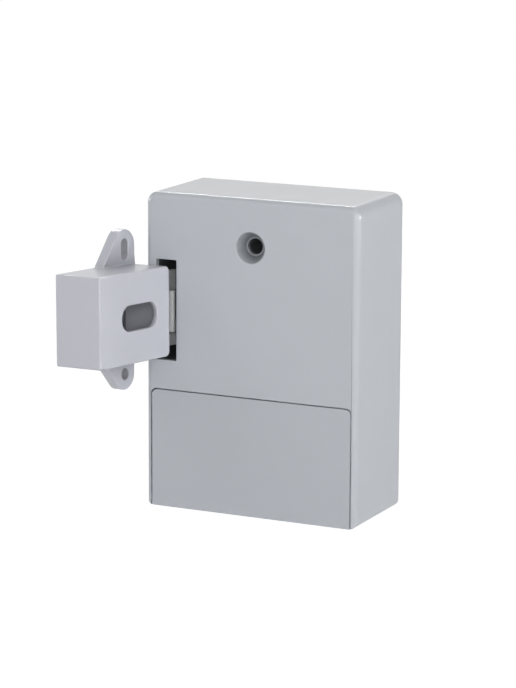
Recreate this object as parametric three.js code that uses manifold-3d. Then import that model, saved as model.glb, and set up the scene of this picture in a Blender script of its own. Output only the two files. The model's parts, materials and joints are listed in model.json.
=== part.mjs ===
import * as THREE from 'three';
import { mergeVertices } from 'three/addons/utils/BufferGeometryUtils.js';
import Module from 'manifold-3d';

const wasm = await Module();
wasm.setup();

// Electronic cabinet lock in millimetres: X to the right, Z up, Y from the front towards the panel behind.
// The origin is the middle of the back face, where the case is fastened.

// Case
const caseWidth = 79.5;
const caseHeight = 110;
const caseDepth = 37;
const caseWall = 2.2;
const topCornerRadius = 4;
const bottomCornerRadius = 2.5;
const frontEdgeRadius = 2.3;
const innerCornerRadius = 1.6;
const fitGap = 0.3;

// Sliding battery cover and its rails
const coverHeight = 41.3;
const coverSeam = 0.35;
const coverSideRim = 1.9;
const coverCornerRadius = 2;
const railWidth = 2.6;
const railThickness = 1.8;
const hookThickness = 1.6;
const hookTopMargin = 4;
const coverTongueWidth = 20;
const coverTongueRise = 2.2;
const coverTongueThickness = 1.3;
const coverFlangeThickness = 1.8;
const bottomWallSetback = 6.4;

// Keeper slot and screw funnel in the front
const slotWidth = 7.6;
const slotHeight = 35;
const slotInset = 4.05;
const slotRise = 10;
const funnelDrop = 16.6;
const funnelDiameter = 10.8;
const funnelDepth = 4;
const seatDiameter = 6.7;
const seatThickness = 1.2;
const boreDiameter = 5.4;
const postDiameter = 10.6;

// Back plate, its bosses and screws
const backThickness = 3;
const backCornerRadius = 1.5;
const bossDiameter = 7.6;
const bossInset = 5.7;
const bossRib = 2;
const screwFit = 0.3;
const caseScrew = { head: 5.5, headHeight: 1.7, shank: 2.6, length: 8 };
const smallScrew = { head: 4, headHeight: 1.4, shank: 2, length: 5 };
const strikeScrew = { head: 4, headHeight: 0.9, shank: 1.8, length: 6 };
const recessWidth = 0.6;
const recessShare = 0.7;
const recessDepth = 0.5;
const sinkDepth = 0.2;

// Inner chassis and keeper pocket
const chassisSetback = 17;
const chassisThickness = 2;
const chassisBossDiameter = 6;
const chassisBossSpread = 22;
const chassisBossDrop = 8.5;
const lowBossRise = 7;
const pocketWall = 1.5;

// Locking bolt and its rack carriage
const boltThickness = 2.4;
const boltHeight = 10;
const boltLength = 37.5;
const boltChamfer = 1.5;
const boltFrontGap = 0.4;
const boltSetback = 0.65;
const carriageLength = 29;
const carriageHeight = 11;
const carriageDepth = 6;
const carriageSetback = 10.4;
const pegDiameter = 3;
const pegMargin = 6;
const guideRibThickness = 2;
const guideInset = 1;
const flagLength = 5;
const flagWidth = 3;
const flagThickness = 1;

// Gear train
const rackModule = 0.8;
const rackPinionTeeth = 10;
const wheelModule = 0.6;
const wheelTeeth = 30;
const motorPinionTeeth = 10;
const meshGap = 0.15;
const toothAddendum = 0.8;
const toothDedendum = 1.2;
const toothTipShare = 0.11;
const toothRootShare = 0.27;
const wheelThickness = 2.4;
const rackPinionThickness = 6;
const gearReach = 19.5;
const axleDiameter = 2.4;
const hubDiameter = 5;
const hubHeight = 2.3;

// Motor and sensor
const motorDiameter = 15.4;
const motorFlat = 12;
const motorLength = 10.5;
const shaftDiameter = 2;
const shaftRoom = 0.6;
const motorEndWall = 2.2;
const motorScrewSpread = 5;
const sensorLength = 7;
const sensorHeight = 8;
const sensorBase = 4;
const sensorTower = 7.5;
const sensorSlot = 2.2;
const sensorOverlap = 4;

// Electronics
const boardThickness = 1.6;
const boardBackGap = 1.6;
const boardSideMargin = 1.2;
const boardEndMargin = 8.8;
const standoffDiameter = 5;
const standoffInset = 8.5;
const standoffHigh = 10;
const standoffLow = 16;
const coilWidth = 3.5;
const coilThickness = 1.2;
const coilMargin = 1.5;
const chipSize = 10;
const chipHeight = 1.6;
const chipOffset = 18;
const buzzerDiameter = 12;
const buzzerHeight = 7.5;
const buzzerOffset = 20;
const buzzerRise = 17.5;
const buzzerHole = 2;
const capacitorDiameter = 6.3;
const capacitorHeight = 8;
const capacitorOffset = 15;
const socketWidth = 8;
const socketHeight = 6;
const socketDepth = 4.8;
const socketDrop = 14;
const socketWall = 1;

// Battery tray, cells and contacts
const trayWall = 1.6;
const trayRimSetback = 6.6;
const trayBackGap = 0.3;
const trayTopGap = 0.6;
const wellSlack = 0.15;
const cellDiameter = 10.5;
const cellLength = 44.5;
const cellNubDiameter = 3.8;
const cellNubLength = 0.8;
const cellPitch = 11.2;
const cellCount = 3;
const cellFloorGap = 0.3;
const contactThickness = 0.5;
const contactHeight = 8;
const springLength = 6.6;
const springBaseRadius = 3.6;
const springTipRadius = 2.3;
const springWire = 0.7;
const springCurls = 4;
const springGap = 0.2;
const springSides = 5;
const curlSteps = 8;

// Learn button
const buttonDiameter = 3.8;
const buttonFlange = 5;
const buttonFlangeThickness = 1;
const buttonProud = 1.2;
const buttonTravel = 0.7;
const buttonRoom = 5.8;
const buttonGap = 0.1;
const switchSize = 6;
const switchHeight = 3.4;
const plungerDiameter = 3.4;
const plungerHeight = 0.8;

// Strike with its keeper
const strikeWidth = 18.4;
const strikeDepth = 39.6;
const strikeHeight = 31.1;
const strikeWall = 2.2;
const strikeFaceWall = 1.8;
const strikeGap = 1.77;
const strikeLean = { pitch: -2.4, roll: -2.2, yaw: -8.2 };
const strikeCornerRadius = 1.8;
const strikeEdgeRadius = 0.8;
const windowLength = 19.9;
const windowHeight = 8.7;
const windowSetback = 17.1;
const windowChamfer = 0.5;
const earThickness = 3.9;
const upperEar = { base: 19.8, reach: 6.4, setback: 5.9, radius: 5.8 };
const lowerEar = { base: 21.5, reach: 6.6, setback: 6.3, radius: 5.5 };
const earSlotWidth = 3.7;
const earSlotLength = 7.3;
const earSlotReach = 5.3;
const earHoleDiameter = 4;
const basePlateThickness = 1.6;
const strikeBossDiameter = 6;
const clampLength = 3.5;
const clampHeight = 8;
const keeperThickness = 1.8;
const keeperInset = 2.6;
const keeperSlotGap = 0.6;
const upperArm = 7;
const lowerArm = 4.2;
const bridgeLength = 4;
const bridgeSetback = 27.4;
const rollerDiameter = 2.4;
const rollerGap = 0.75;
const pinDiameter = 1;
const pinFit = 0.15;
const armLip = 0.65;

// Roundness
const fineSides = 32;
const smallSides = 12;
const cut = 1; // how far a cutting solid runs past what it cuts
const weld = 0.1; // how far joined solids run into each other
const mergeTolerance = 1e-4;
const halfTurn = Math.PI;
const quarterTurn = Math.PI / 2;
const degree = Math.PI / 180;

// Lines and planes that several pieces share
const halfWidth = caseWidth / 2;
const halfHeight = caseHeight / 2;
const front = -caseDepth;
const innerFront = front + caseWall;
const innerSide = halfWidth - caseWall;
const innerTop = halfHeight - caseWall;
const innerBottom = caseWall - halfHeight;
const coverTop = coverHeight - halfHeight;
const openingTop = coverTop + coverSeam;
const openingSide = halfWidth - coverSideRim;
const trayBottom = innerBottom + fitGap;
const trayTop = trayBottom + 2 * trayWall + cellCount * cellPitch + wellSlack;
const flangeTop = trayTop + trayWall;
const chassisBottom = flangeTop + trayTopGap + fitGap;
const slotLeft = slotInset - halfWidth;
const slotRight = slotLeft + slotWidth;
const slotBottom = chassisBottom + slotRise;
const slotTop = slotBottom + slotHeight;
const slotMiddle = (slotBottom + slotTop) / 2;
const funnelZ = halfHeight - funnelDrop;
const funnelFlare = (funnelDiameter - seatDiameter) / funnelDepth;
const funnelBack = front + funnelDepth + seatThickness;
const backInner = -backThickness;
const caseScrewHole = caseScrew.shank + 2 * screwFit;
const smallScrewHole = smallScrew.shank + 2 * screwFit;
const strikeScrewHole = strikeScrew.shank + 2 * screwFit;
const bossX = halfWidth - bossInset;
const bossZ = halfHeight - bossInset;
const chassisFront = front + chassisSetback;
const chassisBack = chassisFront + chassisThickness;
const chassisSide = innerSide - fitGap;
const chassisTop = innerTop - fitGap;
const bossHighZ = halfHeight - chassisBossDrop;
const bossLowZ = chassisBottom + lowBossRise;
const boltFront = innerFront + boltFrontGap;
const boltBack = boltFront + boltThickness;
const boltTip = slotRight + boltSetback;
const boltEnd = boltTip + boltLength;
const carriageLeft = boltTip + carriageSetback;
const carriageRight = carriageLeft + carriageLength;
const carriageBack = boltBack + carriageDepth;
const carriageTop = slotMiddle + carriageHeight / 2;
const carriageBottom = carriageTop - carriageHeight;
const rackPitch = halfTurn * rackModule;
const rackPitchZ = carriageBottom - toothDedendum * rackModule;
const rackPinionRadius = rackModule * rackPinionTeeth / 2;
const gearX = boltTip + gearReach;
const gearZ = rackPitchZ - rackPinionRadius - meshGap;
const wheelTipRadius = wheelModule * (wheelTeeth / 2 + toothAddendum);
const wheelBack = chassisFront - hubHeight - fitGap;
const wheelFront = wheelBack - wheelThickness;
const motorX = gearX + wheelModule * (wheelTeeth + motorPinionTeeth) / 2 + meshGap;
const motorZ = gearZ;
const motorFront = chassisBack + fitGap;
const motorBack = motorFront + motorLength;
const boardBack = backInner - boardBackGap;
const boardFront = boardBack - boardThickness;
const boardSide = innerSide - boardSideMargin;
const boardTop = innerTop - boardEndMargin;
const trayBack = chassisBack - trayBackGap;
const trayFloor = trayBack - trayWall;
const trayRim = front + trayRimSetback;
const wellLength = springLength + cellLength + 2 * contactThickness;
const traySide = (wellLength + buttonRoom + 3 * trayWall) / 2;
const wellLeft = trayWall - traySide;
const wellRight = wellLeft + wellLength;
const cellY = trayFloor - cellFloorGap - cellDiameter / 2;
const cellMiddleZ = (trayTop + trayBottom) / 2;
const buttonX = wellRight + trayWall + buttonRoom / 2;
const buttonZ = cellMiddleZ;
const switchFront = boardFront - switchHeight - plungerHeight;
const keeperX = slotLeft + keeperSlotGap + keeperThickness / 2;

// Shapes to solids and back
function toSolid(geometry) {
  geometry.deleteAttribute('normal');
  geometry.deleteAttribute('uv');
  const merged = mergeVertices(geometry, mergeTolerance);
  const corners = merged.index.array;
  const triangles = [];
  for (let i = 0; i < corners.length; i += 3) {
    const [a, b, c] = corners.slice(i, i + 3);
    if (a !== b && b !== c && c !== a) triangles.push(a, b, c);
  }
  return new wasm.Manifold(new wasm.Mesh({
    numProp: 3,
    vertProperties: Float32Array.from(merged.attributes.position.array),
    triVerts: Uint32Array.from(triangles),
  }));
}

function toGeometry(solid) {
  const mesh = solid.getMesh();
  const geometry = new THREE.BufferGeometry();
  geometry.setAttribute('position', new THREE.BufferAttribute(mesh.vertProperties, 3));
  geometry.setIndex(new THREE.BufferAttribute(mesh.triVerts, 1));
  geometry.computeVertexNormals();
  return geometry;
}

function joined(solids) {
  return solids.reduce((whole, next) => whole.add(next));
}

function without(solid, cuts) {
  return cuts.reduce((rest, next) => rest.subtract(next), solid);
}

function box([x0, x1], [y0, y1], [z0, z1]) {
  const geometry = new THREE.BoxGeometry(x1 - x0, y1 - y0, z1 - z0);
  geometry.translate((x0 + x1) / 2, (y0 + y1) / 2, (z0 + z1) / 2);
  return toSolid(geometry);
}

// An outline in the two other axes, drawn out along one: (Y, Z) along x, (X, Z) along y, (X, Y) along z.
function drawnOut(axis, shape, [from, to], edge = 0, steps = 3) {
  const geometry = new THREE.ExtrudeGeometry(shape, {
    depth: to - from - 2 * edge,
    bevelEnabled: edge > 0,
    bevelSize: edge,
    bevelThickness: edge,
    bevelOffset: -edge,
    bevelSegments: steps,
    curveSegments: steps,
  });
  geometry.translate(0, 0, edge);
  const x = new THREE.Vector3(1, 0, 0);
  const y = new THREE.Vector3(0, 1, 0);
  const z = new THREE.Vector3(0, 0, 1);
  const frame = new THREE.Matrix4();
  if (axis === 'x') frame.makeBasis(y, z, x).setPosition(from, 0, 0);
  if (axis === 'y') frame.makeBasis(x, z, y.negate()).setPosition(0, to, 0);
  if (axis === 'z') frame.setPosition(0, 0, from);
  return toSolid(geometry.applyMatrix4(frame));
}

// A round rod or cone along one axis, its centre given in the two other axes in the order above.
function rod(axis, diameter, span, centre, sides = smallSides, endDiameter = diameter) {
  const [from, to] = span;
  const [a, b] = centre;
  const middle = (from + to) / 2;
  const geometry = new THREE.CylinderGeometry(endDiameter / 2, diameter / 2, to - from, sides);
  if (axis === 'x') geometry.rotateZ(-quarterTurn).translate(middle, a, b);
  if (axis === 'y') geometry.translate(a, middle, b);
  if (axis === 'z') geometry.rotateX(quarterTurn).translate(a, b, middle);
  return toSolid(geometry);
}

function roundedOutline([x0, x1], [y0, y1], topRadius, bottomRadius = topRadius) {
  const shape = new THREE.Shape();
  shape.absarc(x1 - topRadius, y1 - topRadius, topRadius, 0, quarterTurn);
  shape.absarc(x0 + topRadius, y1 - topRadius, topRadius, quarterTurn, halfTurn);
  shape.absarc(x0 + bottomRadius, y0 + bottomRadius, bottomRadius, halfTurn, 3 * quarterTurn);
  shape.absarc(x1 - bottomRadius, y0 + bottomRadius, bottomRadius, 3 * quarterTurn, 2 * halfTurn);
  return shape;
}

function polygon(points) {
  return new THREE.Shape(points.map(([x, y]) => new THREE.Vector2(x, y)));
}

// Straight-flanked teeth with backlash, one tooth pointing along the given angle.
function gearOutline(teeth, module, angle) {
  const pitchRadius = teeth * module / 2;
  const tip = pitchRadius + toothAddendum * module;
  const root = pitchRadius - toothDedendum * module;
  const step = 2 * halfTurn / teeth;
  const flanks = [
    [-toothRootShare, root], [-toothTipShare, tip],
    [toothTipShare, tip], [toothRootShare, root],
  ];
  const points = [];
  for (let i = 0; i < teeth; i += 1) {
    const middle = angle + i * step;
    for (const [share, radius] of flanks) {
      const turn = middle + share * step;
      points.push([radius * Math.cos(turn), radius * Math.sin(turn)]);
    }
  }
  return polygon(points);
}

// Scene graph
const lock = new THREE.Group();

const greyAbs = { color: 0xb4b6bd, roughness: 0.42, metalness: 0 };
const blackAbs = { color: 0x1c1d20, roughness: 0.55, metalness: 0 };
const steel = { color: 0x9a9ca0, roughness: 0.32, metalness: 1 };
const zincSteel = { color: 0xa9abad, roughness: 0.38, metalness: 1 };
const brass = { color: 0xb89a55, roughness: 0.35, metalness: 1 };
const copper = { color: 0xb4703f, roughness: 0.4, metalness: 1 };
const whiteNylon = { color: 0xf2f3f3, roughness: 0.5, metalness: 0 };
const acetal = { color: 0xd9d8cf, roughness: 0.45, metalness: 0 };
const boardGreen = { color: 0x1f5a38, roughness: 0.5, metalness: 0 };
const cellJacket = { color: 0x4f5a63, roughness: 0.4, metalness: 0.2 };
const buttonRed = { color: 0xa8322b, roughness: 0.45, metalness: 0 };

function addPiece(group, name, solid, finish) {
  const mesh = new THREE.Mesh(toGeometry(solid), new THREE.MeshStandardMaterial(finish));
  mesh.name = name;
  group.add(mesh);
  return mesh;
}

// The outside of the closed case: rounded along the front edge, plain at the bottom.
function caseOutside() {
  const skirt = halfHeight + 2 * topCornerRadius;
  const tall = roundedOutline([-halfWidth, halfWidth], [-skirt, halfHeight], topCornerRadius);
  const rounded = drawnOut('y', tall, [front, cut + frontEdgeRadius], frontEdgeRadius);
  const outline = roundedOutline(
    [-halfWidth, halfWidth], [-halfHeight, halfHeight], topCornerRadius, bottomCornerRadius);
  return rounded.intersect(drawnOut('y', outline, [front - cut, 0]));
}

function coverOutline(gap) {
  const side = openingSide - gap;
  return roundedOutline(
    [-side, side], [-halfHeight - cut - coverCornerRadius, openingTop - gap], coverCornerRadius);
}

function cornerPlaces() {
  return [[-bossX, bossZ], [bossX, bossZ], [-bossX, -bossZ], [bossX, -bossZ]];
}

function chassisScrewPlaces() {
  return [[-chassisBossSpread, bossHighZ], [chassisBossSpread, bossHighZ], [chassisBossSpread, bossLowZ]];
}

function frontShell() {
  const room = roundedOutline([-innerSide, innerSide], [innerBottom, innerTop], innerCornerRadius);
  let shell = without(caseOutside(), [
    drawnOut('y', room, [innerFront, cut]),
    drawnOut('y', coverOutline(0), [front - cut, innerFront + weld]),
    box([-innerSide, innerSide], [innerFront, front + bottomWallSetback],
      [-halfHeight - cut, innerBottom + innerCornerRadius]),
  ]);
  const railFront = innerFront + fitGap;
  const added = [rod('y', postDiameter, [innerFront - weld, funnelBack], [0, funnelZ], fineSides)];
  for (const side of [-1, 1]) {
    const edges = [side * (innerSide + weld), side * (innerSide - railWidth)].sort((a, b) => a - b);
    added.push(box(edges, [railFront, railFront + railThickness], [innerBottom, openingTop]));
  }
  for (const [x, z] of cornerPlaces()) {
    const start = z > 0 ? innerFront - weld : trayBack;
    const rib = [x, Math.sign(x) * (innerSide + weld)].sort((a, b) => a - b);
    added.push(rod('y', bossDiameter, [start, backInner], [x, z]));
    added.push(box(rib, [start, backInner], [z - bossRib / 2, z + bossRib / 2]));
  }
  for (const place of chassisScrewPlaces()) {
    added.push(rod('y', chassisBossDiameter, [innerFront - weld, chassisFront], place));
  }
  shell = joined([shell, ...added]);
  const cuts = [
    box([slotLeft, slotRight], [front - cut, innerFront + weld], [slotBottom, slotTop]),
    rod('y', funnelDiameter + funnelFlare * cut, [front - cut, front + funnelDepth],
      [0, funnelZ], fineSides, seatDiameter),
    rod('y', boreDiameter, [front, cut], [0, funnelZ], fineSides),
  ];
  for (const [x, z] of cornerPlaces()) {
    cuts.push(rod('y', caseScrewHole, [backInner - caseScrew.length, cut], [x, z]));
    if (z < 0) cuts.push(rod('y', smallScrewHole, [trayBack - cut, trayBack + smallScrew.length], [x, z]));
  }
  for (const place of chassisScrewPlaces()) {
    cuts.push(rod('y', smallScrewHole, [chassisFront - smallScrew.length, chassisFront + cut], place));
  }
  return without(shell, cuts);
}

function batteryCover() {
  const plate = caseOutside().intersect(drawnOut('y', coverOutline(coverSeam), [front - cut, innerFront]));
  const flangeSide = innerSide - fitGap;
  const flangeBack = front + bottomWallSetback - fitGap;
  const flange = box([-flangeSide, flangeSide], [innerFront - weld, flangeBack],
    [-halfHeight, coverFlangeThickness - halfHeight]);
  const tongueX = [-coverTongueWidth / 2, coverTongueWidth / 2];
  const tongueFront = innerFront + fitGap;
  const tongueLow = coverTop - 2 * coverTongueRise;
  const tongue = box(
    tongueX, [tongueFront, tongueFront + coverTongueThickness], [tongueLow, coverTop + coverTongueRise]);
  const tongueRoot = box(
    tongueX, [innerFront - weld, tongueFront + weld], [tongueLow, coverTop - coverTongueRise]);
  const parts = [plate, flange.intersect(caseOutside()), tongue, tongueRoot];
  const webOuter = innerSide - railWidth - fitGap;
  const lipFront = innerFront + fitGap + railThickness + fitGap;
  const lipBack = lipFront + hookThickness;
  const hookZ = [coverFlangeThickness - halfHeight - weld, coverTop - hookTopMargin];
  for (const side of [-1, 1]) {
    const web = [side * (webOuter - hookThickness), side * webOuter].sort((a, b) => a - b);
    const lip = [side * (webOuter - hookThickness), side * (innerSide - fitGap)].sort((a, b) => a - b);
    parts.push(box(web, [innerFront - weld, lipBack], hookZ));
    parts.push(box(lip, [lipFront, lipBack], hookZ));
  }
  return joined(parts);
}

function backPlate() {
  const outline = roundedOutline(
    [fitGap - innerSide, innerSide - fitGap], [innerBottom + fitGap, innerTop - fitGap], backCornerRadius);
  const sink = caseScrew.headHeight + sinkDepth;
  const cuts = [rod('y', boreDiameter, [backInner - cut, cut], [0, funnelZ], fineSides)];
  for (const place of cornerPlaces()) {
    cuts.push(rod('y', caseScrewHole, [backInner - cut, cut], place));
    cuts.push(rod('y', caseScrew.head + 2 * screwFit, [-sink, cut], place));
  }
  return without(drawnOut('y', outline, [backInner, 0]), cuts);
}

// A pan head screw with a cross recess, its head top at the origin and its shank along -Y.
function screw({ head, headHeight, shank, length }) {
  const arm = [-head * recessShare / 2, head * recessShare / 2];
  const body = joined([
    rod('y', head, [-headHeight, 0], [0, 0]),
    rod('y', shank, [-headHeight - length, weld - headHeight], [0, 0], smallSides / 2),
  ]);
  const slit = [-recessWidth / 2, recessWidth / 2];
  return without(body, [
    box(arm, [-recessDepth, cut], slit),
    box(slit, [-recessDepth, cut], arm),
  ]);
}

function addScrews(group, name, kind, places) {
  places.forEach(([x, y, z, turn], i) => {
    const mesh = addPiece(group, `${name}_${i + 1}`, screw(kind), zincSteel);
    mesh.position.set(x, y, z);
    mesh.rotation.z = turn;
  });
}

addPiece(lock, 'front_shell', frontShell(), greyAbs);
addPiece(lock, 'battery_cover', batteryCover(), greyAbs);
addPiece(lock, 'back_plate', backPlate(), blackAbs);
addScrews(lock, 'case_screw', caseScrew, cornerPlaces().map(([x, z]) => [x, -sinkDepth, z, 0]));

// Lock work
const work = new THREE.Group();
lock.add(work);

function standoffPlaces() {
  const x = boardSide - standoffInset;
  const high = slotMiddle + standoffHigh;
  return [[-x, high], [x, high], [x, slotMiddle - standoffLow]];
}

function innerChassis() {
  const pocketRight = slotRight + fitGap + pocketWall;
  const guideX = [pocketRight - weld, carriageRight - guideInset];
  const padBottom = gearZ + wheelTipRadius + 2 * fitGap;
  const parts = [
    box([-chassisSide, chassisSide], [chassisFront, chassisBack], [chassisBottom, chassisTop]),
    box([-chassisSide, pocketRight], [innerFront + fitGap, chassisBack],
      [slotBottom - fitGap - pocketWall, slotTop + fitGap + pocketWall]),
    box(guideX, [carriageBack + fitGap, chassisFront + weld], [padBottom, carriageTop]),
    box(guideX, [boltBack + fitGap, chassisFront + weld],
      [carriageTop + fitGap, carriageTop + fitGap + guideRibThickness]),
    rod('y', hubDiameter, [chassisFront - hubHeight, chassisFront + weld], [gearX, gearZ]),
    rod('y', postDiameter, [funnelBack + fitGap, backInner], [0, funnelZ], fineSides),
  ];
  for (const place of standoffPlaces()) {
    parts.push(rod('y', standoffDiameter, [chassisBack - weld, boardFront], place));
  }
  const boltRoom = [slotMiddle - boltHeight / 2 - fitGap, slotMiddle + boltHeight / 2 + fitGap];
  const cuts = [
    box([slotLeft - fitGap, slotRight + fitGap], [front, chassisFront - pocketWall],
      [slotBottom - fitGap, slotTop + fitGap]),
    box([slotRight, pocketRight + cut], [boltFront - fitGap, boltBack + fitGap], boltRoom),
    rod('y', boreDiameter, [front, cut], [0, funnelZ], fineSides),
    rod('y', axleDiameter + 2 * screwFit, [front, cut], [gearX, gearZ]),
    rod('y', shaftDiameter + 2 * shaftRoom, [front, cut], [motorX, motorZ]),
  ];
  for (const [x, z] of cornerPlaces().filter((place) => place[1] > 0)) {
    const reach = bossDiameter / 2 + fitGap;
    const edges = [x - Math.sign(x) * reach, Math.sign(x) * halfWidth].sort((a, b) => a - b);
    cuts.push(box(edges, [front, cut], [z - reach, halfHeight]));
  }
  for (const place of chassisScrewPlaces()) {
    cuts.push(rod('y', smallScrewHole, [front, cut], place));
  }
  for (const side of [-1, 1]) {
    cuts.push(rod('y', smallScrewHole, [front, cut], [motorX, motorZ + side * motorScrewSpread]));
  }
  for (const place of standoffPlaces()) {
    cuts.push(rod('y', smallScrewHole, [boardFront - smallScrew.length, cut], place));
  }
  return without(joined(parts), cuts);
}

function carriagePegs() {
  return [carriageLeft + pegMargin, Math.min(carriageRight, boltEnd) - pegMargin];
}

function lockingBolt() {
  const low = slotMiddle - boltHeight / 2;
  const high = slotMiddle + boltHeight / 2;
  const outline = polygon([
    [boltTip, low + boltChamfer], [boltTip + boltChamfer, low], [boltEnd, low],
    [boltEnd, high], [boltTip + boltChamfer, high], [boltTip, high - boltChamfer],
  ]);
  const holes = carriagePegs().map(
    (x) => rod('y', pegDiameter + 2 * fitGap, [boltFront - cut, boltBack + cut], [x, slotMiddle]));
  return without(drawnOut('y', outline, [boltFront, boltBack]), holes);
}

function boltCarriage() {
  const depth = [boltBack, carriageBack];
  const flagMiddle = (boltBack + carriageBack) / 2;
  const parts = [
    box([carriageLeft, carriageRight], depth, [carriageBottom, carriageTop]),
    box([carriageRight - weld, carriageRight + flagLength],
      [flagMiddle - flagWidth / 2, flagMiddle + flagWidth / 2],
      [slotMiddle - flagThickness / 2, slotMiddle + flagThickness / 2]),
  ];
  for (const x of carriagePegs()) {
    parts.push(rod('y', pegDiameter, [boltFront + fitGap, boltBack + weld], [x, slotMiddle]));
  }
  const tip = rackPitchZ - toothAddendum * rackModule;
  const root = carriageBottom + weld;
  const reachLeft = Math.floor((gearX - carriageLeft) / rackPitch - 0.5);
  const reachRight = Math.floor((carriageRight - gearX) / rackPitch - 0.5);
  for (let i = -reachLeft; i < reachRight; i += 1) {
    const middle = gearX + (i + 0.5) * rackPitch;
    const wide = toothRootShare * rackPitch;
    const narrow = toothTipShare * rackPitch;
    const tooth = polygon([
      [middle - wide, root], [middle - narrow, tip], [middle + narrow, tip], [middle + wide, root],
    ]);
    parts.push(drawnOut('y', tooth, depth));
  }
  return joined(parts);
}

function driveGear() {
  const pinionFront = wheelFront - rackPinionThickness;
  const wheel = drawnOut('y', gearOutline(wheelTeeth, wheelModule, 0), [wheelFront, wheelBack]);
  const pinionTeeth = gearOutline(rackPinionTeeth, rackModule, quarterTurn);
  const pinion = drawnOut('y', pinionTeeth, [pinionFront, wheelFront + weld]);
  const bore = rod('y', axleDiameter + 2 * fitGap, [pinionFront - cut, wheelBack + cut], [0, 0]);
  return wheel.add(pinion).subtract(bore);
}

function motorCan() {
  const span = [motorFront, motorBack];
  const can = rod('y', motorDiameter, span, [0, 0], fineSides)
    .intersect(box([-motorDiameter, motorDiameter], span, [-motorFlat / 2, motorFlat / 2]));
  const cuts = [rod('y', shaftDiameter + 2 * fitGap, [motorFront - cut, motorBack - motorEndWall], [0, 0])];
  for (const side of [-1, 1]) {
    const place = [0, side * motorScrewSpread];
    cuts.push(rod('y', smallScrewHole, [motorFront - cut, motorFront + smallScrew.length], place));
  }
  return without(can, cuts);
}

function motorPinion() {
  const outline = gearOutline(motorPinionTeeth, wheelModule, halfTurn * (1 - 1 / motorPinionTeeth));
  return drawnOut('y', outline, [wheelFront, wheelBack])
    .subtract(rod('y', shaftDiameter + 2 * fitGap, [wheelFront - cut, wheelBack + cut], [0, 0]));
}

function boltSensor() {
  const left = carriageRight + flagLength - sensorOverlap;
  const across = [left, left + sensorLength];
  const high = [slotMiddle - sensorHeight / 2, slotMiddle + sensorHeight / 2];
  const body = box(across, [chassisFront - sensorBase - sensorTower, chassisFront], high);
  const slot = box(
    [left - cut, left + sensorLength + cut], [front, chassisFront - sensorBase],
    [slotMiddle - sensorSlot / 2, slotMiddle + sensorSlot / 2]);
  return body.subtract(slot);
}

addPiece(work, 'inner_chassis', innerChassis(), blackAbs);
addScrews(work, 'chassis_screw', smallScrew,
  chassisScrewPlaces().map(([x, z]) => [x, chassisBack + smallScrew.headHeight, z, 0]));
addPiece(work, 'locking_bolt', lockingBolt(), steel);
addPiece(work, 'bolt_carriage', boltCarriage(), acetal);
addPiece(work, 'drive_gear', driveGear(), acetal).position.set(gearX, 0, gearZ);
const axleSpan = [wheelFront - rackPinionThickness - fitGap, chassisBack];
addPiece(work, 'gear_axle', rod('y', axleDiameter, axleSpan, [0, 0]), steel).position.set(gearX, 0, gearZ);
const motor = new THREE.Group();
motor.position.set(motorX, 0, motorZ);
work.add(motor);
addPiece(motor, 'motor_can', motorCan(), zincSteel);
const shaftSpan = [wheelFront - fitGap, motorBack - motorEndWall - fitGap];
addPiece(motor, 'motor_shaft', rod('y', shaftDiameter, shaftSpan, [0, 0]), steel);
addPiece(motor, 'motor_pinion', motorPinion(), brass);
addScrews(motor, 'motor_screw', smallScrew,
  [-1, 1].map((side) => [0, chassisFront - smallScrew.headHeight, side * motorScrewSpread, halfTurn]));
addPiece(work, 'bolt_sensor', boltSensor(), blackAbs);

// Electronics
const electronics = new THREE.Group();
lock.add(electronics);

function controlBoard() {
  const plate = box([-boardSide, boardSide], [boardFront, boardBack], [-boardTop, boardTop]);
  const cuts = [rod('y', postDiameter + 2 * fitGap, [front, cut], [0, funnelZ], fineSides)];
  for (const place of standoffPlaces()) {
    cuts.push(rod('y', smallScrewHole, [boardFront - cut, cut], place));
  }
  return without(plate, cuts);
}

function antennaCoil() {
  const side = boardSide - coilMargin;
  const low = coilMargin - boardTop;
  const high = funnelZ - postDiameter / 2 - coilMargin;
  const span = [boardBack, boardBack + coilThickness];
  const outer = roundedOutline([-side, side], [low, high], 2 * coilWidth);
  const inner = roundedOutline(
    [coilWidth - side, side - coilWidth], [low + coilWidth, high - coilWidth], coilWidth);
  return drawnOut('y', outer, span).subtract(drawnOut('y', inner, [span[0] - cut, span[1] + cut]));
}

function buzzer() {
  const span = [boardFront - buzzerHeight, boardFront];
  return rod('y', buzzerDiameter, span, [0, 0], fineSides)
    .subtract(rod('y', buzzerHole, [span[0] - cut, span[0] + buzzerHeight / 2], [0, 0]));
}

function leadSocket() {
  const across = [-socketWidth / 2, socketWidth / 2];
  const high = [-socketHeight / 2, socketHeight / 2];
  const shell = box(across, [boardFront - socketDepth, boardFront], high);
  const mouth = box(
    [across[0] + socketWall, across[1] - socketWall],
    [boardFront - socketDepth - cut, boardFront - socketWall],
    [high[0] + socketWall, high[1] - socketWall]);
  return shell.subtract(mouth);
}

addPiece(electronics, 'control_board', controlBoard(), boardGreen);
addScrews(electronics, 'board_screw', smallScrew,
  standoffPlaces().map(([x, z]) => [x, boardBack + smallScrew.headHeight, z, 0]));
addPiece(electronics, 'antenna_coil', antennaCoil(), copper);
const chipHalf = chipSize / 2;
const chip = box([-chipHalf, chipHalf], [boardFront - chipHeight, boardFront], [-chipHalf, chipHalf]);
addPiece(electronics, 'control_chip', chip, blackAbs).position.set(motorX + chipOffset, 0, slotMiddle);
addPiece(electronics, 'buzzer', buzzer(), blackAbs).position.set(-buzzerOffset, 0, slotMiddle + buzzerRise);
const capacitor = rod('y', capacitorDiameter, [boardFront - capacitorHeight, boardFront], [0, 0]);
addPiece(electronics, 'capacitor', capacitor, cellJacket).position.set(capacitorOffset, 0, funnelZ);
addPiece(electronics, 'lead_socket', leadSocket(), acetal).position.set(motorX, 0, motorZ - socketDrop);

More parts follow.
